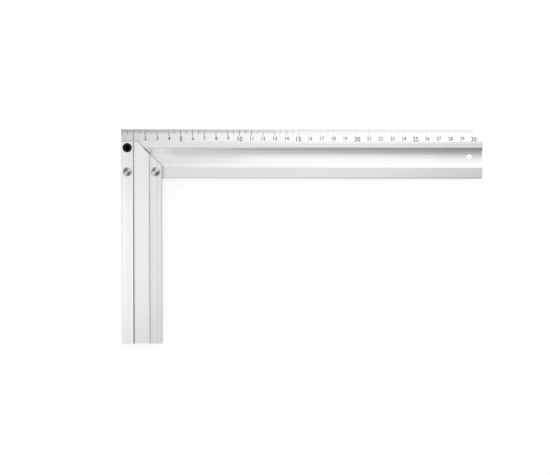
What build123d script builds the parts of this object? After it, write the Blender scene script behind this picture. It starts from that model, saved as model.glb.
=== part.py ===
from build123d import *
import math
import os

# Adjustable set square: a graduated aluminium blade held at a right angle in a thick, hollow
# aluminium stock. A pivot screw and a clamp screw hold the blade, and an eccentric trims its angle.
#
# It lies on its back: +X runs along the blade to its free end, +Y towards the graduated edge and +Z
# up, out of the face. The origin is the middle of the resting box. All sizes are in millimetres.
# Each piece is drawn from the outer corner of the square, where the heel edge of the stock (x = 0)
# meets the line of the graduated edge (y = 0), and is moved to the origin as it is written.

# ---- blade: an extruded bar with a bevelled scale edge, a grip trough and a flat back
BLADE_LENGTH = 307.5
BLADE_WIDTH = 42.0
BLADE_THICKNESS = 6.0
BEVEL_WIDTH = 10.5
SCALE_EDGE_THICKNESS = 1.2
UPPER_LAND_WIDTH = 5.1
LOWER_LAND_WIDTH = 9.3          # the trough takes what the lands and the bevel leave
TROUGH_DEPTH = 2.0
TROUGH_FLOOR_OFFSET = 6.7       # the trough's lowest line, from its upper edge
BLADE_EDGE_ROUND = 1.0          # lower edge of the face
BLADE_BACK_ROUND = 0.4
HANG_HOLE_DIAMETER = 6.0
HANG_HOLE_INSET = 10.7          # from the free end
HANG_HOLE_DROP = 1.7            # below the trough's lowest line

# ---- stock: a hollow extrusion with a shallow recess between two lands on each face
STOCK_WIDTH = 34.5
STOCK_LENGTH = 170.5
STOCK_THICKNESS = 18.0
STOCK_EDGE_ROUND = 0.8
HEAD_SETBACK = 11.0             # from the graduated edge down to the square end of the stock
MITRE_FOOT_INSET = 10.0         # foot of the mitre, above the blade's lower edge
LAND_WIDTH = 10.0
RECESS_DEPTH = 1.5
RECESS_WALL_RUN = 1.0
RECESS_TOP_ROUND = 0.5
RECESS_FLOOR_ROUND = 1.5
SIDE_WALL = 5.5
CHAMBER_ROUND = 0.5
BLADE_FACE_GAP = 0.1            # each side of the blade, in the slot
SLOT_END_GAP = 0.6              # below the blade, for its swing

# ---- plug that closes the foot of the stock
PLUG_FIT = 0.02
PLUG_SINK = 0.3
PLUG_LENGTH = 12.0
PLUG_WALL = 1.6

# ---- screws: slotted cheese heads sunk in counterbores, one near each edge of the stock
SCREW_INSET = 5.3               # from each edge of the stock
SCREW_ROW_INSET = 5.7           # above the blade's lower edge
SCREW_DIAMETER = 4.0
SCREW_LENGTH = 14.0
HEAD_DIAMETER = 7.0
HEAD_HEIGHT = 2.6
HEAD_ROUND = 0.35
HEAD_SINK = 0.3
SLOT_WIDTH = 1.2
SLOT_DEPTH = 1.1
SLOT_ANGLE = 42.0
THREAD_LENGTH = 10.2
THREAD_STEP = 0.1               # the plain thread stand-in is thinner than the shank by this
TIP_CHAMFER = 0.4
COUNTERBORE_GAP = 0.15          # round the head
MOUTH_CHAMFER = 0.15
RUNNING_FIT = 0.05              # radial, on the pivot and on the adjuster
CLAMP_HOLE_GAP = 0.15           # round the clamp screw, in the stock
CLAMP_SWING_GAP = 0.6           # round the clamp screw, in the blade

# ---- split lock washer under each head
WASHER_THICKNESS = 1.2
WASHER_BORE_GAP = 0.1
WASHER_SPLIT = 0.5
WASHER_SPLIT_LEAN = 30.0

# ---- press-in nut behind each screw
NUT_SINK = 0.2
NUT_FLANGE_DIAMETER = 8.0
NUT_FLANGE_THICKNESS = 1.2
NUT_BODY_DIAMETER = 6.0
NUT_LENGTH = 4.2

# ---- bush in the blade, round the pivot screw
BUSH_WALL = 1.2

# ---- adjuster: an eccentric between the two cheeks of the stock
ADJUSTER_DROP = 5.0             # below the square end of the stock
ADJUSTER_HEAD_DIAMETER = 7.8
ADJUSTER_HEAD_SINK = 0.2
ADJUSTER_SEAT_DEPTH = 4.0       # counterbore for the head
ADJUSTER_NECK_DIAMETER = 6.5
ADJUSTER_EDGE_ROUND = 0.3
CAM_DIAMETER = 5.4
CAM_ECCENTRICITY = 0.5
CAM_FIT = 0.06                  # each side, in the blade's slot
CAM_SLOT_TRAVEL = 0.6           # length of the slot between its end centres
ADJUSTER_TURN = 60.0            # each way from the middle
JOURNAL_DIAMETER = 4.0
JOURNAL_SINK = 0.6
SOCKET_FLATS = 4.0
SOCKET_DEPTH = 3.0
AXIAL_PLAY = 0.05

# ---- disc spring and retaining ring behind the adjuster
SPRING_POCKET_DIAMETER = 8.4
SPRING_POCKET_DEPTH = 2.4
SPRING_OUTER_DIAMETER = 8.0
SPRING_BORE_GAP = 0.1
SPRING_THICKNESS = 0.3
SPRING_CONE = 0.25
SPRING_SEAT_GAP = 0.02
RING_THICKNESS = 0.4
RING_WIDTH = 1.1
RING_GROOVE_DEPTH = 0.2
RING_OPENING = 70.0
RING_LUG_DIAMETER = 1.9
RING_LUG_HOLE = 0.8

CUT = 1.0                       # how far a cutter runs past the surface that it opens

# ---- levels, from the resting plane up
blade_back = (STOCK_THICKNESS - BLADE_THICKNESS) / 2
blade_face = blade_back + BLADE_THICKNESS
cheek_back = blade_back - BLADE_FACE_GAP      # inner face of the back cheek
cheek_front = blade_face + BLADE_FACE_GAP     # inner face of the front cheek
head_top = STOCK_THICKNESS - HEAD_SINK
head_seat = head_top - HEAD_HEIGHT
washer_seat = head_seat - WASHER_THICKNESS

# ---- lines on the square, down from the graduated edge
trough_top = BEVEL_WIDTH + UPPER_LAND_WIDTH
trough_low = trough_top + TROUGH_FLOOR_OFFSET
trough_bottom = BLADE_WIDTH - LOWER_LAND_WIDTH
screw_row = BLADE_WIDTH - SCREW_ROW_INSET
adjuster_row = HEAD_SETBACK + ADJUSTER_DROP
overall_width = HEAD_SETBACK + STOCK_LENGTH

# ---- axes of the turning pieces
clamp_axis = (SCREW_INSET, -screw_row)
pivot_axis = (STOCK_WIDTH - SCREW_INSET, -screw_row)
adjuster_axis = (SCREW_INSET, -adjuster_row)
lever_x = adjuster_axis[0] - pivot_axis[0]
lever_y = adjuster_axis[1] - pivot_axis[1]
lever_arm = math.hypot(lever_x, lever_y)
lever_angle = math.degrees(math.atan2(lever_y, lever_x))
blade_trim = math.degrees(
    math.asin(CAM_ECCENTRICITY * math.sin(math.radians(ADJUSTER_TURN)) / lever_arm)
)


def along_lever(distance):
    """A point on the line from the pivot through the adjuster, that far beyond the adjuster."""
    return (
        adjuster_axis[0] + distance * lever_x / lever_arm,
        adjuster_axis[1] + distance * lever_y / lever_arm,
    )


def rod(axis, diameter, low, high):
    """A cylinder along Z about axis, between two levels."""
    base = Pos(axis[0], axis[1], low)
    return base * Cylinder(diameter / 2, high - low, align=(Align.CENTER, Align.CENTER, Align.MIN))


def mouth(axis, diameter, level, size):
    """The cutter of a chamfer of that size on a hole that opens upwards at level."""
    cone = Cone(
        diameter / 2 - CUT,
        diameter / 2 + size + CUT,
        size + 2 * CUT,
        align=(Align.CENTER, Align.CENTER, Align.MAX),
    )
    return Pos(axis[0], axis[1], level + CUT) * cone


def blade_section():
    """The bar's outline across its length: bevel, land, trough of two arcs that meet level, land."""
    outline = FilletPolyline(
        (0, blade_back),
        (0, blade_back + SCALE_EDGE_THICKNESS),
        (-BEVEL_WIDTH, blade_face),
        (-BLADE_WIDTH, blade_face),
        (-BLADE_WIDTH, blade_back),
        radius=[0, 0, 0, BLADE_EDGE_ROUND, BLADE_BACK_ROUND],
        close=True,
    )
    low = (-trough_low, blade_face - TROUGH_DEPTH)
    upper = (-trough_top, blade_face)
    lower = (-trough_bottom, blade_face)
    trough = [
        TangentArc(low, upper, tangent=(1, 0)),
        Polyline(upper, (upper[0], upper[1] + CUT), (lower[0], lower[1] + CUT), lower),
        TangentArc(low, lower, tangent=(-1, 0)),
    ]
    return make_face(outline) - make_face(trough)


def make_blade():
    bar = extrude(Plane.YZ * blade_section(), BLADE_LENGTH)
    hang_hole = (BLADE_LENGTH - HANG_HOLE_INSET, -trough_low - HANG_HOLE_DROP)
    bar -= rod(hang_hole, HANG_HOLE_DIAMETER, blade_back - CUT, blade_face + CUT)
    bar -= rod(pivot_axis, bush_diameter(), blade_back - CUT, blade_face + CUT)
    clamp_hole = SCREW_DIAMETER + 2 * CLAMP_SWING_GAP
    bar -= rod(clamp_axis, clamp_hole, blade_back - CUT, blade_face + CUT)
    return bar - cam_slot()


def cam_slot():
    """The slot's long axis points at the pivot, so the cam pushes square to it."""
    mean_reach = CAM_ECCENTRICITY * (1 + math.cos(math.radians(ADJUSTER_TURN))) / 2
    slot = SlotCenterToCenter(CAM_SLOT_TRAVEL, CAM_DIAMETER + 2 * CAM_FIT, rotation=lever_angle)
    middle = along_lever(mean_reach)
    return extrude(Pos(middle[0], middle[1], blade_back - CUT) * slot, BLADE_THICKNESS + 2 * CUT)


def bush_bore():
    return SCREW_DIAMETER + 2 * RUNNING_FIT


def bush_diameter():
    return bush_bore() + 2 * BUSH_WALL


def make_bush():
    bush = rod(pivot_axis, bush_diameter(), blade_back, blade_face)
    return bush - rod(pivot_axis, bush_bore(), blade_back - CUT, blade_face + CUT)


def stock_section():
    """Two lands and a recess on each face, drawn as one quarter and mirrored, less the chamber."""
    half = STOCK_THICKNESS / 2
    quarter = [
        (0, half, STOCK_EDGE_ROUND),
        (LAND_WIDTH, half, RECESS_TOP_ROUND),
        (LAND_WIDTH + RECESS_WALL_RUN, half - RECESS_DEPTH, RECESS_FLOOR_ROUND),
    ]
    front = quarter + [(STOCK_WIDTH - x, z, r) for x, z, r in reversed(quarter)]
    corners = front + [(x, -z, r) for x, z, r in reversed(front)]
    outline = FilletPolyline(
        [(x, half + z) for x, z, _ in corners],
        radius=[r for _, _, r in corners],
        close=True,
    )
    chamber = RectangleRounded(chamber_width(), cheek_front - cheek_back, CHAMBER_ROUND)
    return make_face(outline) - Pos(STOCK_WIDTH / 2, half) * chamber


def chamber_width():
    return STOCK_WIDTH - 2 * SIDE_WALL


def make_stock():
    stock = Pos(0, -HEAD_SETBACK, 0) * extrude(Plane.XZ * stock_section(), STOCK_LENGTH)
    stock -= blade_slot()
    stock -= mitre()
    for axis, hole in ((pivot_axis, RUNNING_FIT), (clamp_axis, CLAMP_HOLE_GAP)):
        stock -= screw_hole(axis, SCREW_DIAMETER + 2 * hole)
        stock -= nut_pocket(axis)
    return stock - adjuster_hole()


def blade_slot():
    """Opens the chamber through both side walls at the head, from the square end past the blade."""
    height = BLADE_WIDTH + SLOT_END_GAP - HEAD_SETBACK + CUT
    slot = Box(
        STOCK_WIDTH + 2 * CUT,
        height,
        cheek_front - cheek_back,
        align=(Align.MIN, Align.MAX, Align.MIN),
    )
    return Pos(-CUT, CUT - HEAD_SETBACK, cheek_back) * slot


def mitre():
    """The corner that a 45 degree cut takes off the head, from the square end to the inner edge."""
    foot = BLADE_WIDTH - MITRE_FOOT_INSET
    run = foot - HEAD_SETBACK + CUT
    corner = Polyline(
        (STOCK_WIDTH - run, CUT - HEAD_SETBACK),
        (STOCK_WIDTH + CUT, CUT - HEAD_SETBACK),
        (STOCK_WIDTH + CUT, -foot - CUT),
        close=True,
    )
    return Pos(0, 0, -CUT) * extrude(make_face(corner), STOCK_THICKNESS + 2 * CUT)


def screw_hole(axis, bore):
    """Counterbore for the head and the hole through the front cheek."""
    counterbore = HEAD_DIAMETER + 2 * COUNTERBORE_GAP
    cutter = rod(axis, counterbore, washer_seat, STOCK_THICKNESS + CUT)
    cutter += rod(axis, bore, cheek_front - CUT, washer_seat + CUT)
    return cutter + mouth(axis, counterbore, STOCK_THICKNESS, MOUTH_CHAMFER)


def nut_pocket(axis):
    """Stepped hole through the back cheek, the size of the pressed-in nut."""
    cutter = rod(axis, NUT_FLANGE_DIAMETER, -CUT, NUT_SINK + NUT_FLANGE_THICKNESS)
    return cutter + rod(axis, NUT_BODY_DIAMETER, 0, cheek_back + CUT)


def adjuster_hole():
    """Stepped bore for the adjuster's head and neck, and the journal's bore and spring pocket."""
    head = ADJUSTER_HEAD_DIAMETER + 2 * RUNNING_FIT
    neck = ADJUSTER_NECK_DIAMETER + 2 * RUNNING_FIT
    journal = JOURNAL_DIAMETER + 2 * RUNNING_FIT
    seat = STOCK_THICKNESS - ADJUSTER_SEAT_DEPTH
    cutter = rod(adjuster_axis, head, seat, STOCK_THICKNESS + CUT)
    cutter += rod(adjuster_axis, neck, cheek_front - CUT, seat + CUT)
    cutter += rod(adjuster_axis, journal, 0, cheek_back + CUT)
    return cutter + rod(adjuster_axis, SPRING_POCKET_DIAMETER, -CUT, SPRING_POCKET_DEPTH)


def make_plug():
    """A cup pressed into the chamber's foot, open towards the head."""
    width = chamber_width() - 2 * PLUG_FIT
    height = cheek_front - cheek_back - 2 * PLUG_FIT
    outer = extrude(Plane.XZ * RectangleRounded(width, height, CHAMBER_ROUND), -PLUG_LENGTH)
    pocket = extrude(
        Plane.XZ * Rectangle(width - 2 * PLUG_WALL, height - 2 * PLUG_WALL),
        PLUG_WALL - PLUG_LENGTH - CUT,
    )
    plug = outer - Pos(0, PLUG_WALL, 0) * pocket
    return Pos(STOCK_WIDTH / 2, PLUG_SINK - overall_width, STOCK_THICKNESS / 2) * plug


def make_screw(axis):
    """Cheese head with a slot, plain shank, and a plain cylinder for the thread."""
    head = rod(axis, HEAD_DIAMETER, head_seat, head_top)
    head = fillet(head.edges().group_by(Axis.Z)[-1], HEAD_ROUND)
    slot = Box(
        HEAD_DIAMETER + 2 * CUT,
        SLOT_WIDTH,
        SLOT_DEPTH + CUT,
        align=(Align.CENTER, Align.CENTER, Align.MIN),
    )
    head -= Pos(axis[0], axis[1], head_top - SLOT_DEPTH) * Rot(0, 0, SLOT_ANGLE) * slot
    tip = head_seat - SCREW_LENGTH
    thread = rod(axis, SCREW_DIAMETER - THREAD_STEP, tip, tip + THREAD_LENGTH)
    thread = chamfer(thread.edges().group_by(Axis.Z)[0], TIP_CHAMFER)
    return head + rod(axis, SCREW_DIAMETER, tip + THREAD_LENGTH, head_seat) + thread


def make_lock_washer(axis):
    """A flat ring split by a leaning cut."""
    ring = rod(axis, HEAD_DIAMETER, washer_seat, head_seat)
    bore = SCREW_DIAMETER + 2 * WASHER_BORE_GAP
    ring -= rod(axis, bore, washer_seat - CUT, head_seat + CUT)
    split = Box(
        HEAD_DIAMETER,
        WASHER_SPLIT,
        3 * WASHER_THICKNESS,
        align=(Align.MIN, Align.CENTER, Align.CENTER),
    )
    middle = Pos(axis[0], axis[1], (washer_seat + head_seat) / 2)
    return ring - middle * Rot(WASHER_SPLIT_LEAN, 0, 0) * split


def make_nut(axis):
    """A flange let into the back cheek and a body pressed through it, bored for the thread."""
    shoulder = NUT_SINK + NUT_FLANGE_THICKNESS
    nut = rod(axis, NUT_FLANGE_DIAMETER, NUT_SINK, shoulder)
    nut += rod(axis, NUT_BODY_DIAMETER, shoulder, NUT_SINK + NUT_LENGTH)
    bore = SCREW_DIAMETER - THREAD_STEP + 2 * RUNNING_FIT
    return nut - rod(axis, bore, 0, NUT_SINK + NUT_LENGTH + CUT)


def ring_level():
    """Upper face of the retaining ring, under the disc spring."""
    return SPRING_POCKET_DEPTH - SPRING_SEAT_GAP - SPRING_THICKNESS - SPRING_CONE


def make_adjuster():
    """Head with a hex socket, neck, offset cam, and journal with a groove for its ring."""
    top = STOCK_THICKNESS - ADJUSTER_HEAD_SINK
    seat = STOCK_THICKNESS - ADJUSTER_SEAT_DEPTH + AXIAL_PLAY
    neck_end = blade_face + AXIAL_PLAY
    cam_end = cheek_back + AXIAL_PLAY
    head = rod(adjuster_axis, ADJUSTER_HEAD_DIAMETER, seat, top)
    head = fillet(head.edges().group_by(Axis.Z)[-1], ADJUSTER_EDGE_ROUND)
    head += rod(adjuster_axis, ADJUSTER_NECK_DIAMETER, neck_end, seat)
    head += rod(along_lever(CAM_ECCENTRICITY), CAM_DIAMETER, cam_end, neck_end)
    head += rod(adjuster_axis, JOURNAL_DIAMETER, JOURNAL_SINK, cam_end)
    socket = RegularPolygon(SOCKET_FLATS / 2, 6, major_radius=False)
    base = Pos(adjuster_axis[0], adjuster_axis[1], top - SOCKET_DEPTH)
    head -= base * extrude(socket, SOCKET_DEPTH + CUT)
    groove = rod(adjuster_axis, JOURNAL_DIAMETER + CUT, ring_level() - RING_THICKNESS, ring_level())
    groove -= rod(adjuster_axis, groove_diameter(), 0, cam_end)
    return head - groove


def groove_diameter():
    return JOURNAL_DIAMETER - 2 * RING_GROOVE_DEPTH


def make_disc_spring():
    """A coned washer: its rim bears on the stock and its bore on the retaining ring."""
    inner = JOURNAL_DIAMETER / 2 + SPRING_BORE_GAP
    outer = SPRING_OUTER_DIAMETER / 2
    low = ring_level()
    wall = Polyline(
        (inner, low),
        (outer, low + SPRING_CONE),
        (outer, low + SPRING_CONE + SPRING_THICKNESS),
        (inner, low + SPRING_THICKNESS),
        close=True,
    )
    spring = revolve(Plane.XZ * make_face(wall), Axis.Z)
    return Pos(adjuster_axis[0], adjuster_axis[1], 0) * spring


def make_retaining_ring():
    """An open ring in the journal's groove, with a drilled lug at each end."""
    inner = groove_diameter() / 2
    ring = Circle(inner + RING_WIDTH) - Circle(inner)
    reach = 2 * (inner + RING_WIDTH)
    half = math.radians(RING_OPENING / 2)
    opening = make_face(
        Polyline(
            (0, 0),
            (reach * math.cos(half), reach * math.sin(half)),
            (reach * math.cos(half), -reach * math.sin(half)),
            close=True,
        )
    )
    ring -= opening
    lug_place = inner + RING_LUG_DIAMETER / 2
    lug_turn = RING_OPENING / 2 + math.degrees(math.asin(RING_LUG_DIAMETER / 2 / lug_place))
    for turn in (lug_turn, -lug_turn):
        centre = Rot(0, 0, turn) * Pos(lug_place, 0)
        ring += centre * Circle(RING_LUG_DIAMETER / 2)
        ring -= centre * Circle(RING_LUG_HOLE / 2)
    ring -= Circle(inner)
    base = Pos(adjuster_axis[0], adjuster_axis[1], ring_level() - RING_THICKNESS)
    return base * extrude(ring, RING_THICKNESS)


PIECES = {
    "stock_profile": make_stock(),
    "stock_end_plug": make_plug(),
    "blade": make_blade(),
    "blade_pivot_bush": make_bush(),
    "pivot_screw": make_screw(pivot_axis),
    "pivot_lock_washer": make_lock_washer(pivot_axis),
    "pivot_nut": make_nut(pivot_axis),
    "clamp_screw": make_screw(clamp_axis),
    "clamp_lock_washer": make_lock_washer(clamp_axis),
    "clamp_nut": make_nut(clamp_axis),
    "adjuster_cam": make_adjuster(),
    "adjuster_disc_spring": make_disc_spring(),
    "adjuster_retaining_ring": make_retaining_ring(),
}

to_origin = Pos(-BLADE_LENGTH / 2, overall_width / 2, 0)
os.makedirs("parts", exist_ok=True)
for node, piece in PIECES.items():
    export_step(to_origin * piece, f"parts/{node}.step")

for name, axis in (("pivot", pivot_axis), ("clamp", clamp_axis), ("adjuster", adjuster_axis)):
    place = to_origin * Pos(axis[0], axis[1], 0)
    print(f"{name} axis at x {place.position.X:.3f}, y {place.position.Y:.3f}")
print(f"blade trim is {blade_trim:.4f} degrees each way for {ADJUSTER_TURN:.0f} of the adjuster")
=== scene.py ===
import math

import bmesh
import bpy
import numpy as np
from mathutils import Matrix, Vector


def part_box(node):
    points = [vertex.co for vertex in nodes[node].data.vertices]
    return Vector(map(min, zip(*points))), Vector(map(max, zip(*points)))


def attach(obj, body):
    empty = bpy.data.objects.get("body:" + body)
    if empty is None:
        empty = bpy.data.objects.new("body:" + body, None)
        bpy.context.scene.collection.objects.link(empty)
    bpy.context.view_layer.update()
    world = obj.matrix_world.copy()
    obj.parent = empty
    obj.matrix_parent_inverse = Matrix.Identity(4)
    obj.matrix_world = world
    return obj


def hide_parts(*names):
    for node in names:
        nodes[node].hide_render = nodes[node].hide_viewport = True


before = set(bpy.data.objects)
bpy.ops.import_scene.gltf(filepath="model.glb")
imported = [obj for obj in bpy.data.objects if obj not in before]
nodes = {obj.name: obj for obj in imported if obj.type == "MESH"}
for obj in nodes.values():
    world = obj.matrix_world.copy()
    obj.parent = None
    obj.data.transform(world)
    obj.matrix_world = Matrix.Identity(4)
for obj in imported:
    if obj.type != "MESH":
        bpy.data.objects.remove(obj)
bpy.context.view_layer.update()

# An adjustable set square that lies on a pale floor: a bevelled, graduated blade held in a hollow stock.
# The CAD nodes keep their shapes and get their finishes here. The printed scale is new, and the screws
# and press-in nuts are made again with real threads. Everything is in metres, in the frame of the CAD.

MM = 0.001

# ---- camera
CAMERA_PLACE = Vector((-0.0748, 0.0404, 1.2))
CAMERA_AIM = Vector((-0.0237, -0.00125, 0.012))
CAMERA_LENS = 91.5
SENSOR_WIDTH = 36.0

# ---- blade and stock, as in the CAD
SCALE_EDGE_THICKNESS = 1.2 * MM
BEVEL_WIDTH = 10.5 * MM
UPPER_LAND_WIDTH = 5.1 * MM
TROUGH_FOOT = 58.05 * MM        # y of the lower side of the trough
STOCK_LAND_WIDTH = 10.0 * MM    # each side of the recess
RECESS_WALL_RUN = 1.0 * MM
MITRE = -60.5 * MM              # x + y on the mitre face

# ---- printed scale: distances down the bevel are measured as seen from above
SCALE_CENTIMETRES = 30
TICK_LENGTHS = {"millimetre": 2.9 * MM, "half": 4.1 * MM, "centimetre": 5.5 * MM}
TICK_WIDTHS = {"millimetre": 0.33 * MM, "half": 0.42 * MM, "centimetre": 0.5 * MM}
TICK_START = 0.2 * MM
NUMBER_TOP = 6.2 * MM
NUMBER_HEIGHT = 3.2 * MM
FIVES_HEIGHT = 4.1 * MM
NUMBER_SHIFT = 0.3 * MM
FIGURE_NARROWING = 0.92
STROKE_THICKENING = 0.014       # this and the next in sizes of a letter before it is scaled
WELD_DISTANCE = 1e-4
INK_ABOVE = 0.012 * MM
INK_BELOW = 0.02 * MM
INK_FADES = (-54 * MM, 10 * MM)     # x where the ink starts to turn pale, and where it is palest

# ---- M4 screws and their nuts
THREAD_PITCH = 0.7 * MM
THREAD_DEPTH = 0.40 * MM
THREAD_LENGTH = 10.2 * MM
CREST_FLAT = 0.0875 * MM
ROOT_FLAT = 0.14 * MM
THREAD_CLEARANCE = 0.03 * MM
SHANK_RADIUS = 2.0 * MM
SCREW_AROUND, SCREW_STEPS_PER_PITCH = 72, 14
HEAD_HEIGHT = 2.6 * MM
HEAD_RADIUS = 3.5 * MM
HEAD_SEAT = 15.1 * MM
HEAD_ROUND = 0.35 * MM
SLOT_WIDTH = 1.2 * MM
SLOT_DEPTH = 1.1 * MM
SLOT_ANGLE = math.radians(42.0)
SLOT_OVERRUN = 1.2              # the cutter's reach, as a share of the head's radius
TIP_CHAMFER = 0.4 * MM
NUT_BODY_RADIUS = 3.0 * MM
NUT_FLANGE_THICKNESS = 1.2 * MM
NUT_TEETH = 24
NUT_TOOTH_DEPTH = 0.22 * MM
NUT_CHAMFER = 0.25 * MM
NUT_AROUND, NUT_STEPS_PER_PITCH = 144, 12
SHARP_ANGLE = 35                # degrees between faces, past which an edge stays sharp

# ---- finishes: the palest colour of the anodised skin, and the share of it that a plain face has
ANODISED = (0.833, 0.830, 0.823)
STOCK_SHADE = 0.901
BLADE_SHADE = 0.805

# ---- stage
STUDIO_LEVEL = 0.878
FLOOR_SIZE = 14.0
FLOOR_DROP = 0.02 * MM          # keeps the floor off the faces that lie on it


# ---------------------------------------------------------------- meshes

def new_object(name, points, faces):
    """A mesh object at the origin."""
    mesh = bpy.data.meshes.new(name)
    mesh.from_pydata(points, [], faces)
    mesh.validate()
    made = bpy.data.objects.new(name, mesh)
    bpy.context.scene.collection.objects.link(made)
    return made


def new_piece(name, points, faces, body):
    """A mesh object at the origin that rides on a body of the frame."""
    piece = new_object(name, points, faces)
    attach(piece, body)
    return piece


def smooth(piece):
    """Shades a piece smooth, with its sharp edges kept."""
    piece.data.shade_smooth()
    piece.data.set_sharp_from_angle(angle=math.radians(SHARP_ANGLE))


def middle_of(node):
    """The middle of a CAD node's box."""
    low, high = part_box(node)
    return (low + high) / 2


def closed_skin(rings):
    """Points and faces of a closed skin: quads from each ring to the next, which wrap around, and a fan
    from each end ring to a pole at its middle. rings is an array of (ring, place round it, xyz), and the
    faces point outwards where the rings turn anticlockwise about the way that they follow each other."""
    count, around, _ = rings.shape
    points = np.vstack([rings.reshape(-1, 3), rings[0].mean(0), rings[-1].mean(0)])
    ring, place = np.meshgrid(np.arange(count - 1), np.arange(around), indexing="ij")
    following = (place + 1) % around
    near, far = ring * around, (ring + 1) * around
    quads = np.stack([near + place, near + following, far + following, far + place], -1)
    place = np.arange(around)
    following = (place + 1) % around
    last = (count - 1) * around
    first_fan = np.stack([np.full(around, count * around), following, place], -1)
    last_fan = np.stack([np.full(around, count * around + 1), last + place, last + following], -1)
    faces = quads.reshape(-1, 4).tolist() + first_fan.tolist() + last_fan.tolist()
    return points, faces


def thread_ridge(height, turn):
    """The height of a right-handed thread's ridge, from 0 at the root to 1 at the crest. A triangle wave
    of the height less the helix's rise at that turn, cut off flat at the crest and at the root."""
    phase = np.mod(height / THREAD_PITCH - turn / (2 * math.pi), 1.0)
    from_crest = np.abs(phase - 0.5) * THREAD_PITCH
    flank = (THREAD_PITCH - CREST_FLAT - ROOT_FLAT) / 2
    return 1 - np.clip((from_crest - CREST_FLAT / 2) / flank, 0, 1)


def rounded_rim(radius, level, rounding, steps=6):
    """Radii and levels of a quarter round at the upper outer corner, from the flat top to the side."""
    angle = np.linspace(math.pi / 2, 0, steps)
    radii = radius - rounding * (1 - np.cos(angle))
    levels = level - rounding * (1 - np.sin(angle))
    return radii, levels


def turned_rings(axis, radii, levels, around):
    """Rings of a turned shape: radii is one radius per level, or one per level and turn."""
    turn = np.linspace(0, 2 * math.pi, around, endpoint=False)
    radii = np.broadcast_to(np.asarray(radii).reshape(len(levels), -1), (len(levels), around))
    x = axis.x + radii * np.cos(turn)
    y = axis.y + radii * np.sin(turn)
    z = np.broadcast_to(np.asarray(levels)[:, None], x.shape)
    return np.stack([x, y, z], -1)


def make_screw(node, body):
    """A slotted cheese-head screw with a rolled thread. Its radius follows a profile of head, shank and
    tip, and over the threaded length it rises and falls with the ridge of a right-handed helix. The
    ridge is lower over the first two pitches, and runs out over the last one."""
    low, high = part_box(node)
    axis = (low + high) / 2
    head_radius = (high.x - low.x) / 2
    seat = high.z - HEAD_HEIGHT
    thread_top = low.z + THREAD_LENGTH

    steps = round((THREAD_LENGTH - TIP_CHAMFER) / THREAD_PITCH * SCREW_STEPS_PER_PITCH)
    levels = np.linspace(low.z + TIP_CHAMFER, thread_top, steps)
    turn = np.linspace(0, 2 * math.pi, SCREW_AROUND, endpoint=False)
    crest = SHANK_RADIUS - THREAD_CLEARANCE
    start = np.clip((levels - low.z) / (2 * THREAD_PITCH), 0, 1)
    run_out = np.clip((thread_top - levels) / THREAD_PITCH, 0, 1)
    depth = THREAD_DEPTH * (1 - thread_ridge(levels[:, None], turn[None, :])) * run_out[:, None]
    thread = crest - depth - (1 - start[:, None]) * THREAD_DEPTH / 4

    rim_radii, rim_levels = rounded_rim(head_radius, high.z, HEAD_ROUND)
    upper_radii = [SHANK_RADIUS, SHANK_RADIUS, head_radius, *rim_radii[::-1], head_radius / 2]
    upper_levels = [thread_top + THREAD_CLEARANCE, seat, seat, *rim_levels[::-1], high.z]
    rings = np.vstack([
        turned_rings(axis, [crest - THREAD_DEPTH - TIP_CHAMFER / 2], [low.z], SCREW_AROUND),
        turned_rings(axis, thread, levels, SCREW_AROUND),
        turned_rings(axis, upper_radii, upper_levels, SCREW_AROUND),
    ])
    points, faces = closed_skin(rings)
    screw = new_piece(f"{node}_threaded", points, faces, body)
    cut_slot(screw, Vector((axis.x, axis.y, high.z)), head_radius)
    smooth(screw)
    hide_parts(node)
    return screw


def cut_slot(screw, top, head_radius):
    """Takes a straight slot across the head out of the screw's own mesh, with a box whose corners lie
    along and across the slot from the middle of the top."""
    reach, half = head_radius * SLOT_OVERRUN, SLOT_WIDTH / 2
    along = Vector((math.cos(SLOT_ANGLE), math.sin(SLOT_ANGLE), 0))
    across = Vector((-along.y, along.x, 0))
    corners = [
        top + along * a * reach + across * b * half + Vector((0, 0, level))
        for level in (-SLOT_DEPTH, SLOT_DEPTH)
        for a, b in ((-1, -1), (1, -1), (1, 1), (-1, 1))
    ]
    sides = [(0, 3, 2, 1), (4, 5, 6, 7), (0, 1, 5, 4), (1, 2, 6, 5), (2, 3, 7, 6), (3, 0, 4, 7)]
    cutter = new_object("slot_cutter", corners, sides)
    cut = screw.modifiers.new("slot", "BOOLEAN")
    cut.operation, cut.solver, cut.object = "DIFFERENCE", "EXACT", cutter
    slotted = mesh_of(screw)
    screw.modifiers.clear()
    screw.data = slotted
    bpy.data.objects.remove(cutter)


def mesh_of(piece):
    """A new mesh of what a piece makes: its modifiers' result, or its letters."""
    graph = bpy.context.evaluated_depsgraph_get()
    return bpy.data.meshes.new_from_object(piece.evaluated_get(graph))


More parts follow.
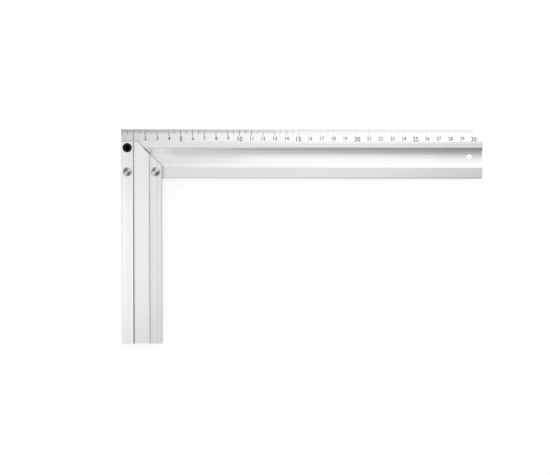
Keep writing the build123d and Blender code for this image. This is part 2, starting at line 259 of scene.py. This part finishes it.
def make_nut(node, body):
    """A press-in nut: a flange with a toothed rim, a plain body, and a bore threaded to match the screw.
    The rim's radius is a triangle wave of the turn. The skin runs up the outside and down the bore, so it
    closes on itself like a ring."""
    low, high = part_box(node)
    axis = (low + high) / 2
    flange_radius = (high.x - low.x) / 2
    shoulder = low.z + NUT_FLANGE_THICKNESS
    turn = np.linspace(0, 2 * math.pi, NUT_AROUND, endpoint=False)

    tooth = np.abs(np.mod(turn * NUT_TEETH / (2 * math.pi), 1.0) * 2 - 1)
    rim = flange_radius - NUT_TOOTH_DEPTH * tooth
    plain = np.full(NUT_AROUND, NUT_BODY_RADIUS)
    outside_radii = np.vstack([
        np.minimum(rim, flange_radius - NUT_CHAMFER), rim, rim, plain, plain, plain - NUT_CHAMFER,
    ])
    outside_levels = np.array([
        low.z, low.z + NUT_CHAMFER, shoulder, shoulder, high.z - NUT_CHAMFER, high.z,
    ])
    steps = round((high.z - low.z) / THREAD_PITCH * NUT_STEPS_PER_PITCH)
    bore_levels = np.linspace(high.z, low.z, steps)
    mouth = np.minimum(high.z - bore_levels, bore_levels - low.z)
    depth = THREAD_DEPTH * (1 - np.clip(1 - mouth / NUT_CHAMFER, 0, 1))
    ridge = thread_ridge(bore_levels[:, None] + THREAD_PITCH / 2, turn[None, :])
    bore_radii = SHANK_RADIUS - depth[:, None] * ridge
    outside = turned_rings(axis, outside_radii, outside_levels, NUT_AROUND)
    bore = turned_rings(axis, bore_radii, bore_levels, NUT_AROUND)
    points, faces = ring_skin(np.vstack([outside, bore]))
    nut = new_piece(f"{node}_threaded", points, faces, body)
    smooth(nut)
    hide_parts(node)
    return nut


def ring_skin(rings):
    """Points and faces of a skin like a tyre: quads from each ring of points to the next, which wrap
    around, and from the last ring to the first."""
    count, around, _ = rings.shape
    ring, place = np.meshgrid(np.arange(count), np.arange(around), indexing="ij")
    following, after = (place + 1) % around, (ring + 1) % count
    quads = np.stack([
        ring * around + place, ring * around + following,
        after * around + following, after * around + place,
    ], -1)
    return rings.reshape(-1, 3), quads.reshape(-1, 4).tolist()


# ---------------------------------------------------------------- printed scale

blade_low, blade_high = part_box("blade")
bevel_rise = blade_high.z - blade_low.z - SCALE_EDGE_THICKNESS
bevel_length = math.hypot(BEVEL_WIDTH, bevel_rise)
bevel_down = np.array([0, -BEVEL_WIDTH, bevel_rise]) / bevel_length
bevel_normal = np.array([0, bevel_rise, BEVEL_WIDTH]) / bevel_length
bevel_edge = np.array([blade_low.x, blade_high.y, blade_low.z + SCALE_EDGE_THICKNESS])


def on_bevel(along, down, above):
    """Points of the bevel: along the blade from its outer end, down from the graduated edge as seen
    from above, and above the surface, square to it."""
    slope = np.asarray(down) * bevel_length / BEVEL_WIDTH
    return (
        bevel_edge
        + np.multiply.outer(along, [1.0, 0.0, 0.0])
        + np.multiply.outer(slope, bevel_down)
        + np.multiply.outer(above, bevel_normal)
    )


def make_ticks():
    """One thin closed bar for each millimetre: eight corners, at the tick's two sides, its two ends, and
    the bottom and top of the ink. The first tick starts at the end of the blade."""
    millimetre = np.arange(SCALE_CENTIMETRES * 10 + 1)
    kind = np.where(millimetre % 5 == 0, "half", "millimetre")
    kind = np.where(millimetre % 10 == 0, "centimetre", kind)
    length = np.array([TICK_LENGTHS[k] for k in kind])
    width = np.array([TICK_WIDTHS[k] for k in kind])
    place = np.maximum(millimetre * MM, width / 2)
    flat = np.ones(len(place))
    corners = [
        on_bevel(place + side * width / 2, TICK_START + end * (length - TICK_START), flat * level)
        for level in (-INK_BELOW, INK_ABOVE)
        for side, end in ((-1, 0), (1, 0), (1, 1), (-1, 1))
    ]
    points = np.stack(corners, 1).reshape(-1, 3)
    sides = [(0, 1, 2, 3), (4, 7, 6, 5), (0, 4, 5, 1), (1, 5, 6, 2), (2, 6, 7, 3), (3, 7, 4, 0)]
    first_corner = len(corners) * np.arange(len(place))
    faces = (np.array(sides)[None] + first_corner[:, None, None]).reshape(-1, 4)
    return new_piece("scale_ticks", points, faces.tolist(), "blade")


def make_numbers():
    """The centimetre numbers, one mesh. Each is written flat at the origin, made a mesh, and laid on the
    bevel: its x goes along the blade, its y up the bevel, and its z out of it."""
    points, faces, count = [], [], 0
    for centimetre in range(1, SCALE_CENTIMETRES + 1):
        height = FIVES_HEIGHT if centimetre % 5 == 0 else NUMBER_HEIGHT
        letters, sides = written(str(centimetre), height)
        along = centimetre * 10 * MM + NUMBER_SHIFT + letters[:, 0]
        down = NUMBER_TOP + height - letters[:, 1]
        points.append(on_bevel(along, down, letters[:, 2]))
        faces += [[corner + count for corner in side] for side in sides]
        count += len(letters)
    return new_piece("scale_numbers", np.vstack(points), faces, "blade")


def written(text, height):
    """Points and faces of a line of figures of that height, centred on x = 0 and standing on y = 0, with
    the bottom and top of the ink as their z."""
    curve = bpy.data.curves.new("figures", "FONT")
    curve.body, curve.align_x = text, "CENTER"
    curve.resolution_u, curve.extrude, curve.offset = 3, 1.0, STROKE_THICKENING
    letters = bpy.data.objects.new("figures", curve)
    bpy.context.scene.collection.objects.link(letters)
    mesh = mesh_of(letters)
    close_skin(mesh)
    points = np.empty(len(mesh.vertices) * 3, np.float32)
    mesh.vertices.foreach_get("co", points)
    points = points.reshape(-1, 3).astype(float)
    faces = [list(side.vertices) for side in mesh.polygons]
    bpy.data.objects.remove(letters)
    bpy.data.meshes.remove(mesh)
    low, high = points.min(0), points.max(0)
    scale = height / (high[1] - low[1])
    points[:, 0] = (points[:, 0] - (low[0] + high[0]) / 2) * scale * FIGURE_NARROWING
    points[:, 1] = (points[:, 1] - low[1]) * scale
    points[:, 2] = np.where(points[:, 2] > 0, INK_ABOVE, -INK_BELOW)
    return points, faces


def close_skin(mesh):
    """Joins the walls of the figures to their faces, drops slivers, and points every face outwards."""
    work = bmesh.new()
    work.from_mesh(mesh)
    bmesh.ops.remove_doubles(work, verts=work.verts, dist=WELD_DISTANCE)
    bmesh.ops.dissolve_degenerate(work, edges=work.edges, dist=WELD_DISTANCE)
    bmesh.ops.recalc_face_normals(work, faces=work.faces)
    work.to_mesh(mesh)
    work.free()


# ---------------------------------------------------------------- shader formulas

class Socket:
    """One output of a node. Its operators add Math nodes, so that a formula reads as it is written."""

    def __init__(self, shader, output):
        self.shader, self.output = shader, output

    def math(self, operation, *values):
        return self.shader.node("ShaderNodeMath", {"operation": operation}, *values)

    def __add__(self, other):
        return self.math("ADD", self, other)

    def __sub__(self, other):
        return self.math("SUBTRACT", self, other)

    def __rsub__(self, other):
        return self.math("SUBTRACT", other, self)

    def __mul__(self, other):
        return self.math("MULTIPLY", self, other)

    def __abs__(self):
        return self.math("ABSOLUTE", self)

    def __pow__(self, other):
        return self.math("POWER", self, other)

    def most(self, other):
        return self.math("MAXIMUM", self, other)

    def least(self, other):
        return self.math("MINIMUM", self, other)

    def step(self, start, end):
        """0 before start and 1 after end, with a smooth rise between. Falls where end is less."""
        before, after = (0.0, 1.0) if start < end else (1.0, 0.0)
        low, high = sorted((start, end))
        settings = {"interpolation_type": "SMOOTHSTEP"}
        return self.shader.node("ShaderNodeMapRange", settings, self, low, high, before, after)

    __radd__ = __add__
    __rmul__ = __mul__


class Shader:
    """The nodes of one material or world."""

    def __init__(self, owner):
        owner.use_nodes = True
        self.tree = owner.node_tree
        self.tree.nodes.clear()

    def node(self, kind, settings, *values, output=0, **named):
        """Adds a node. settings go on the node first, a ramp's stops among them. values fill its inputs
        in their order, and named fills inputs by name, with _ for a space. Returns one output."""
        node = self.tree.nodes.new(kind)
        for key, value in settings.items():
            if key == "stops":
                self.set_stops(node.color_ramp, value)
            else:
                setattr(node, key, value)
        inputs = dict(enumerate(values))
        inputs.update({name.replace("_", " "): value for name, value in named.items()})
        for key, value in inputs.items():
            if isinstance(value, Socket):
                self.tree.links.new(value.output, node.inputs[key])
            elif value is not None:
                node.inputs[key].default_value = value
        return Socket(self, node.outputs[output]) if node.outputs else None

    @staticmethod
    def set_stops(ramp, stops):
        while len(ramp.elements) < len(stops):
            ramp.elements.new(1.0)
        for element, (place, colour) in zip(ramp.elements, stops):
            element.position, element.color = place, (*colour, 1.0)

    def place(self):
        """The place on the piece, in metres, as a vector and as x, y and z."""
        vector = self.node("ShaderNodeTexCoord", {}, output="Object")
        parts = [self.node("ShaderNodeSeparateXYZ", {}, vector, output=axis) for axis in "XYZ"]
        return vector, *parts

    def noise(self, vector, scale, detail=2.0, roughness=0.5, stretch=(1.0, 1.0, 1.0)):
        """Noise of about 1/scale metres, drawn out along an axis where stretch is small."""
        drawn = self.node("ShaderNodeVectorMath", {"operation": "MULTIPLY"}, vector, stretch)
        return self.node("ShaderNodeTexNoise", {"normalize": True}, drawn, Scale=scale, Detail=detail,
                         Roughness=roughness)

    def turned(self, distance, scale):
        """The fine rings of a lathe about an axis, from the distance to it, about 1/scale metres wide."""
        settings = {"noise_dimensions": "1D"}
        return self.node("ShaderNodeTexNoise", settings, None, distance, Scale=scale, Detail=2.0)

    def shade(self, dark, pale, share):
        """A colour between two, by a share from 0 to 1. A Mix node has its inputs for numbers, vectors
        and colours one after the other, and the colours' are the seventh and eighth."""
        settings = {"data_type": "RGBA", "clamp_factor": True}
        unused = [None] * 5
        return self.node("ShaderNodeMix", settings, share, *unused, (*dark, 1.0), (*pale, 1.0), output=2)

    def relief(self, height, depth):
        """A surface normal for a height from 0 to 1 that stands for depth metres."""
        return self.node("ShaderNodeBump", {}, Strength=1.0, Distance=depth, Height=height)

    def metal(self, colour, roughness, normal, share=1.0, gloss=0.5):
        """A metal surface. share is how much of it is metal, and the rest is a skin of that gloss."""
        surface = self.node("ShaderNodeBsdfPrincipled", {}, Base_Color=colour, Roughness=roughness,
                            Metallic=share, Specular_IOR_Level=gloss, Normal=normal)
        self.node("ShaderNodeOutputMaterial", {}, surface)

    def dull(self, colour, roughness, normal, gloss=0.5):
        """A surface with no metal in it."""
        self.metal(colour, roughness, normal, share=0.0, gloss=gloss)


def new_material(name):
    material = bpy.data.materials.new(name)
    return material, Shader(material)


def finish_with(piece, material):
    """Gives a piece one material in all its slots."""
    piece.data.materials.clear()
    piece.data.materials.append(material)


def from_axis(x, y, axis):
    """The distance from an upright axis, and its parts along X and Y."""
    east, north = x - axis.x, y - axis.y
    return (east * east + north * north) ** 0.5, east, north


# ---------------------------------------------------------------- finishes

def anodised(name, along, faces):
    """Satin anodised extrusion. along is 0 or 1 for a bar that runs along X or Y. The die draws fine
    lines down the length and the etch leaves a fine grain. faces makes each face's share of the palest
    colour from the place, with painted light and shade for what the faces reflect."""
    material, shader = new_material(name)
    vector, x, y, _ = shader.place()
    drawn = [1.0, 1.0, 1.0]
    drawn[along] = 0.004
    streaks = shader.noise(vector, 420, detail=3, stretch=drawn)
    lines = shader.noise(vector, 1500, detail=4, roughness=0.7, stretch=drawn)
    grain = shader.noise(vector, 9000)
    patches = shader.noise(vector, 22, detail=3)
    share = faces(x, y, streaks) + (lines - 0.5) * 0.12 + (patches - 0.5) * 0.03
    colour = shader.shade((0.0, 0.0, 0.0), ANODISED, share)
    roughness = (lines - 0.5) * 0.10 + (patches - 0.5) * 0.06 + 0.2
    normal = shader.relief(lines * 0.6 + grain * 0.4, 0.002 * MM)
    shader.metal(colour, roughness, normal, share=0.8)
    return material


def stock_faces(x, y, streaks):
    """The lands and the recess floor are painted different shades for what each reflects: the left land
    is the palest, less so at the head, then the floor of the recess, then the right land. The die left
    its streaks on the lands. Painted shade lies in the two corners of the recess, most at the left and
    towards the foot, and the foot is painted a little darker."""
    low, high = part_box("stock_profile")
    left, right = low.x + STOCK_LAND_WIDTH, high.x - STOCK_LAND_WIDTH
    half_wall = RECESS_WALL_RUN / 2
    on_left = x.step(left + half_wall, left - half_wall)
    on_right = x.step(right - half_wall, right + half_wall)
    # painted light and shade: each face's share, and the left land darker towards the head and the foot
    painted_head_shade = on_left * y.step(20 * MM, 75 * MM) * 0.06
    painted_foot_shade = y.step(-50 * MM, -90 * MM) * 0.025
    land = STOCK_SHADE + on_left * 0.063 - on_right * 0.086 - painted_head_shade - painted_foot_shade
    # painted shade in the two corners of the recess, deeper at the left and towards the foot
    left_corner = abs(x - (left + half_wall)).step(0.6 * MM, 0.2 * MM)
    painted_left_corner_shade = left_corner * (y.step(high.y, low.y) * 0.25 + 0.35)
    painted_right_corner_shade = abs(x - (right - half_wall)).step(0.5 * MM, 0.2 * MM) * 0.3
    return land + (streaks - 0.5) * 0.3 * (on_left + on_right + 0.1) - painted_left_corner_shade - painted_right_corner_shade


def blade_faces(x, y, streaks):
    """Painted light and shade for what each part of the blade reflects. The bevel and the upper land are
    painted paler than the land below the trough, which is painted darker towards the free end, and the
    outer half of the rounded lower edge has a painted highlight. Towards the free end the upper land has
    a painted highlight beside the bevel and painted shade at the trough. Painted shade lies under the
    trough's upper edge, most before the middle of the blade, and the rising side of the trough is painted
    duller at both ends, and its falling side has a painted highlight beside the mitre. A painted shadow
    lies on the blade along the stock, off the nearest of its head, mitre and inner edge."""
    low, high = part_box("stock_profile")
    bevel_foot = blade_high.y - BEVEL_WIDTH
    trough_top = bevel_foot - UPPER_LAND_WIDTH

    # painted shadow on the blade along the stock's head, mitre and inner edge
    off_stock = (y - high.y).most((x + y - MITRE) * math.sqrt(0.5)).most(x - high.x)
    painted_shadow = off_stock.step(2.4 * MM, 0.2 * MM) * 0.22
    upper = y.step(TROUGH_FOOT, TROUGH_FOOT + MM)
    # painted shade on the land below the trough towards the free end, and a painted highlight on the
    # outer half of the rounded lower edge
    painted_free_end_shade = (1 - upper) * x.step(40 * MM, 150 * MM) * 0.04
    paling = y.step(blade_low.y + 0.75 * MM, blade_low.y + 0.35 * MM) * 0.2

    # painted highlight beside the bevel and painted shade at the top of the trough, towards the free end
    paler = abs(y - (bevel_foot - 0.95 * MM)).step(0.9 * MM, 0.35 * MM) * 0.1
    darker = abs(y - (trough_top + 0.15 * MM)).step(0.5 * MM, 0.2 * MM) * 0.12
    painted_borders = x.step(-65 * MM, -10 * MM) * (paler - darker)

    # painted shade under the trough's upper edge, most before the middle of the blade
    painted_trough_shade = abs(y - (trough_top - 1.65 * MM)).step(MM, 0.4 * MM) * x.step(-110 * MM, -30 * MM)
    painted_trough_shade = painted_trough_shade * (0.14 - x.step(0, 80 * MM) * 0.08)
    # painted shade dimming the rising side's highlight at both ends, and a painted highlight on the
    # falling side beside the mitre
    rising = y.step(70 * MM, 68.5 * MM) * y.step(60.5 * MM, 63.5 * MM)
    ends = x.step(-35 * MM, -65 * MM) * 0.075 + x.step(100 * MM, 125 * MM) * 0.05
    falling = y.step(62 * MM, 72 * MM) * y.step(trough_top + 0.6 * MM, trough_top - 0.2 * MM)
    painted_mitre_highlight = falling * off_stock.step(18 * MM, 7 * MM) * 0.17

    # all of these are painted light and shade, added to the share of a plain face
    tone_shift = upper * 0.042 + paling + painted_borders + painted_mitre_highlight - painted_free_end_shade - painted_trough_shade - rising * ends
    return BLADE_SHADE + tone_shift + (streaks - 0.5) * 0.08 - painted_shadow


def black_oxide(axis):
    """Blackened steel, dull and clouded, with turned rings on the head and a darker socket."""
    material, shader = new_material("black_oxide")
    vector, x, y, _ = shader.place()
    out, _, _ = from_axis(x, y, axis)
    cloud = shader.noise(vector, 900, detail=3)
    rings = shader.turned(out, 5000)
    socket = out.step(2.4 * MM, 2.0 * MM)
    share = (cloud * 0.6 + rings * 0.5) * (1 - socket * 0.95)
    colour = shader.shade((0.0005, 0.0006, 0.0006), (0.02, 0.021, 0.02), share)
    shader.dull(colour, cloud * 0.2 + 0.32 + socket * 0.4, shader.relief(rings, 0.003 * MM), gloss=0.1)
    return material


def turned_metal(name, axes, dark, pale):
    """Metal turned on a lathe, clouded between two colours, with rings about the nearest of the axes."""
    material, shader = new_material(name)
    vector, x, y, _ = shader.place()
    out, *others = [from_axis(x, y, axis)[0] for axis in axes]
    for other in others:
        out = out.least(other)
    rings = shader.turned(out, 9000)
    cloud = shader.noise(vector, 700, detail=3)
    colour = shader.shade(dark, pale, cloud.step(0.3, 0.7))
    shader.metal(colour, rings * 0.15 + 0.25, shader.relief(rings, 0.006 * MM))
    return material


def blackened_screw(pivot, clamp):
    """Blackened steel that turns to a pale metal colour in the slot and beside it, more widely towards
    its ends, and on the rim of the head. All of it follows from the place along, across and out from the
    nearer screw's axis. The screw nearer the mitre is paler there, most on one side."""
    material, shader = new_material("blackened_steel")
    vector, x, y, z = shader.place()
    middle = (pivot.x + clamp.x) / 2
    at_pivot = x.step(middle - MM, middle + MM)
    out, east, north = from_axis(x - at_pivot * (pivot.x - clamp.x), y, clamp)
    across = north * math.cos(SLOT_ANGLE) - east * math.sin(SLOT_ANGLE)
    along = abs(east * math.cos(SLOT_ANGLE) + north * math.sin(SLOT_ANGLE))
    cloud = shader.noise(vector, 1100, detail=4)
    rings = shader.turned(out, 9000)
    head = z.step(HEAD_SEAT, HEAD_SEAT + 0.3 * MM)
    off_slot = abs(across - at_pivot * 0.45 * MM) - along * 0.3
    slot = off_slot.step(SLOT_WIDTH / 2 + 0.35 * MM, SLOT_WIDTH / 2)
    rim = out.step(HEAD_RADIUS - 0.65 * MM, HEAD_RADIUS - 0.25 * MM)
    # how pale the slot and the rim of the head turn, from the place on the head
    paling = at_pivot * 0.2 + along.step(1.2 * MM, 2.6 * MM) * 0.2 + 0.5
    tone_shift = head * (slot * paling).most(rim * 0.85) * (cloud.step(0.15, 0.5) * 0.25 + 0.75)
    colour = shader.shade((0.10, 0.10, 0.10), (0.76, 0.76, 0.75), tone_shift + cloud * 0.1)
    shader.metal(colour, rings * 0.12 + 0.22, shader.relief(rings, 0.004 * MM))
    return material


def spring_steel():
    """Dark hardened strip, finely clouded, with a tumbled surface."""
    material, shader = new_material("spring_strip")
    vector, *_ = shader.place()
    cloud = shader.noise(vector, 1200, detail=3)
    colour = shader.shade((0.16, 0.16, 0.17), (0.33, 0.33, 0.34), cloud)
    shader.metal(colour, cloud * 0.2 + 0.35, shader.relief(cloud, 0.01 * MM))
    return material


def moulded_nylon():
    """Black nylon with the fine grain of its mould."""
    material, shader = new_material("moulded_nylon")
    vector, *_ = shader.place()
    grain = shader.noise(vector, 2600, detail=3)
    cloud = shader.noise(vector, 160)
    colour = shader.shade((0.016, 0.016, 0.017), (0.035, 0.035, 0.036), cloud)
    shader.dull(colour, grain * 0.2 + 0.45, shader.relief(grain, 0.03 * MM))
    return material


def printed_ink(name, tone_shift):
    """Black marking ink with a fine speckle. From the middle of the blade on, a share of it, given by the
    second argument, turns pale and metallic, about half as much at the graduated edge as further down."""
    material, shader = new_material(name)
    vector, x, y, _ = shader.place()
    speckle = shader.noise(vector, 5200, detail=3)
    cloud = shader.noise(vector, 90)
    down = y.step(blade_high.y - 0.3 * MM, blade_high.y - 2.5 * MM)
    # the share of the ink that turns pale and metallic towards the free end
    paling = x.step(*INK_FADES) * (down * 0.45 + 0.55) * tone_shift
    share = (speckle - 0.5) * 0.2 + cloud * 0.15 + paling
    colour = shader.shade((0.01, 0.01, 0.011), (0.75, 0.75, 0.74), share)
    roughness = speckle * 0.2 + 0.4 - paling * 0.2
    shader.metal(colour, roughness, shader.relief(speckle, 0.004 * MM), paling * 0.8, gloss=0.2)
    return material


# ---------------------------------------------------------------- floor, light and camera

def make_floor():
    """A pale floor. Straight and mirrored views see it as white paper that keeps the soft shadow."""
    half = FLOOR_SIZE / 2
    corners = [(-half, -half), (half, -half), (half, half), (-half, half)]
    floor = new_object("floor", [(x, y, -FLOOR_DROP) for x, y in corners], [(0, 1, 2, 3)])
    material, shader = new_material("pale_floor")
    ray = {kind: shader.node("ShaderNodeLightPath", {}, output=kind)
           for kind in ("Is Camera Ray", "Is Glossy Ray", "Is Transmission Ray")}
    seen = ray["Is Camera Ray"].most(ray["Is Glossy Ray"]).most(ray["Is Transmission Ray"])
    plain = shader.node("ShaderNodeBsdfDiffuse", {}, Color=(0.8, 0.8, 0.8, 1))
    shaded = shader.node("ShaderNodeBsdfDiffuse", {}, Color=(0.25, 0.25, 0.25, 1))
    paper = shader.node("ShaderNodeEmission", {}, Color=(1, 1, 1, 1), Strength=0.8)
    white = shader.node("ShaderNodeAddShader", {}, shaded, paper)
    surface = shader.node("ShaderNodeMixShader", {}, seen, plain, white)
    shader.node("ShaderNodeOutputMaterial", {}, surface)
    finish_with(floor, material)


def light_studio():
    """The light of a white studio, as a formula on direction. To an even level it adds a ceiling light, a
    small lamp close to the camera, a soft lamp beside the free end, a large soft wall beyond the
    graduated edge, and two faint ones at the heel and below it. It takes away a darker corner at the
    left of that large wall, and the darker walls towards the foot and at the right. The horizon beyond
    the edge and the heel is pale, whatever lies above it."""
    world = bpy.data.worlds.new("studio")
    bpy.context.scene.world = world
    shader = Shader(world)
    way = shader.node("ShaderNodeTexCoord", {}, output="Generated")
    x, y, z = [shader.node("ShaderNodeSeparateXYZ", {}, way, output=axis) for axis in "XYZ"]

    def lamp(aim, reach):
        """1 at the middle of a round lamp and 0 past its reach in degrees."""
        settings = {"operation": "DOT_PRODUCT"}
        aim = Vector(aim).normalized()
        cosine = shader.node("ShaderNodeVectorMath", settings, way, aim, output="Value")
        return cosine.step(math.cos(math.radians(reach)), 1.0)

    ceiling = lamp((0.116, -0.008, 1.0), 10.0) * 0.487
    by_camera = lamp((-0.098, -0.045, 1.0), 4.0) * 1.18
    beside = lamp((0.75, 0.0, 0.66), 31.0) * 0.85
    far_wall = x.step(-0.050, -0.015) * x.step(0.62, 0.36) * y.step(0.046, 0.21) * 0.7
    heel_wall = x.step(-0.2, -0.45) * y.step(0.5, 0.2) * 0.15
    below_heel = x.step(0.0, -0.06) * y.step(-0.3, -0.6) * 0.2
    corner = x.step(0.0, -0.14) * y.step(0.3, 0.8) * (x.step(-0.6, -0.3) * 0.2 + 0.3)
    near_foot = x.step(-0.01, 0.075) * y.step(-0.2, -0.7)
    far_foot = x.step(-0.03, 0.04) * y.step(-0.78, -0.9)
    foot = x.step(0.7, 0.4) * (near_foot * 0.3 + far_foot * 0.3)
    right = x.step(0.061, 0.30) * y.step(0.6, -0.02) * 0.5
    added = ceiling + by_camera + far_wall + heel_wall + beside + below_heel
    level = added - corner - foot - right + STUDIO_LEVEL
    horizon = z.step(0.26, 0.16) * (y - x).step(-0.3, 0.3)
    strength = level + (1 - level) * horizon
    background = shader.node("ShaderNodeBackground", {}, Color=(1, 1, 1, 1), Strength=strength)
    shader.node("ShaderNodeOutputWorld", {}, background)


def make_camera():
    data = bpy.data.cameras.new("camera")
    data.lens, data.sensor_width = CAMERA_LENS, SENSOR_WIDTH
    data.clip_start, data.clip_end = 0.01, 100.0
    camera = bpy.data.objects.new("camera", data)
    bpy.context.scene.collection.objects.link(camera)
    back = (CAMERA_PLACE - CAMERA_AIM).normalized()
    right = Vector((0, 1, 0)).cross(back).normalized()
    turn = Matrix((right, back.cross(right), back)).transposed().to_4x4()
    camera.matrix_world = Matrix.Translation(CAMERA_PLACE) @ turn
    bpy.context.scene.camera = camera


# ---------------------------------------------------------------- the whole

make_camera()
make_floor()
light_studio()
bpy.context.scene.view_settings.view_transform = "Standard"

fastened = ("pivot", "clamp")
pivot_axis, clamp_axis = [middle_of(f"{place}_screw") for place in fastened]

screws = [make_screw(f"{place}_screw", f"{place}_screw_group") for place in fastened]
nuts = [make_nut(f"{place}_nut", "stock") for place in fastened]
ticks, numbers = make_ticks(), make_numbers()

finish_with(nodes["stock_profile"], anodised("anodised_stock", 1, stock_faces))
finish_with(nodes["blade"], anodised("anodised_blade", 0, blade_faces))
finish_with(nodes["adjuster_cam"], black_oxide(middle_of("adjuster_cam")))
bronze = turned_metal("turned_bronze", [pivot_axis], (0.45, 0.30, 0.13), (0.70, 0.50, 0.26))
finish_with(nodes["blade_pivot_bush"], bronze)
finish_with(nodes["stock_end_plug"], moulded_nylon())
steel = spring_steel()
for name in (
    "pivot_lock_washer", "clamp_lock_washer", "adjuster_disc_spring", "adjuster_retaining_ring",
):
    finish_with(nodes[name], steel)
blackened = blackened_screw(pivot_axis, clamp_axis)
for screw in screws:
    finish_with(screw, blackened)
both_axes = [pivot_axis, clamp_axis]
zinc = turned_metal("zinc_plated_steel", both_axes, (0.45, 0.45, 0.43), (0.62, 0.62, 0.60))
for nut in nuts:
    finish_with(nut, zinc)
finish_with(ticks, printed_ink("tick_ink", 0.85))
finish_with(numbers, printed_ink("number_ink", 0.12))
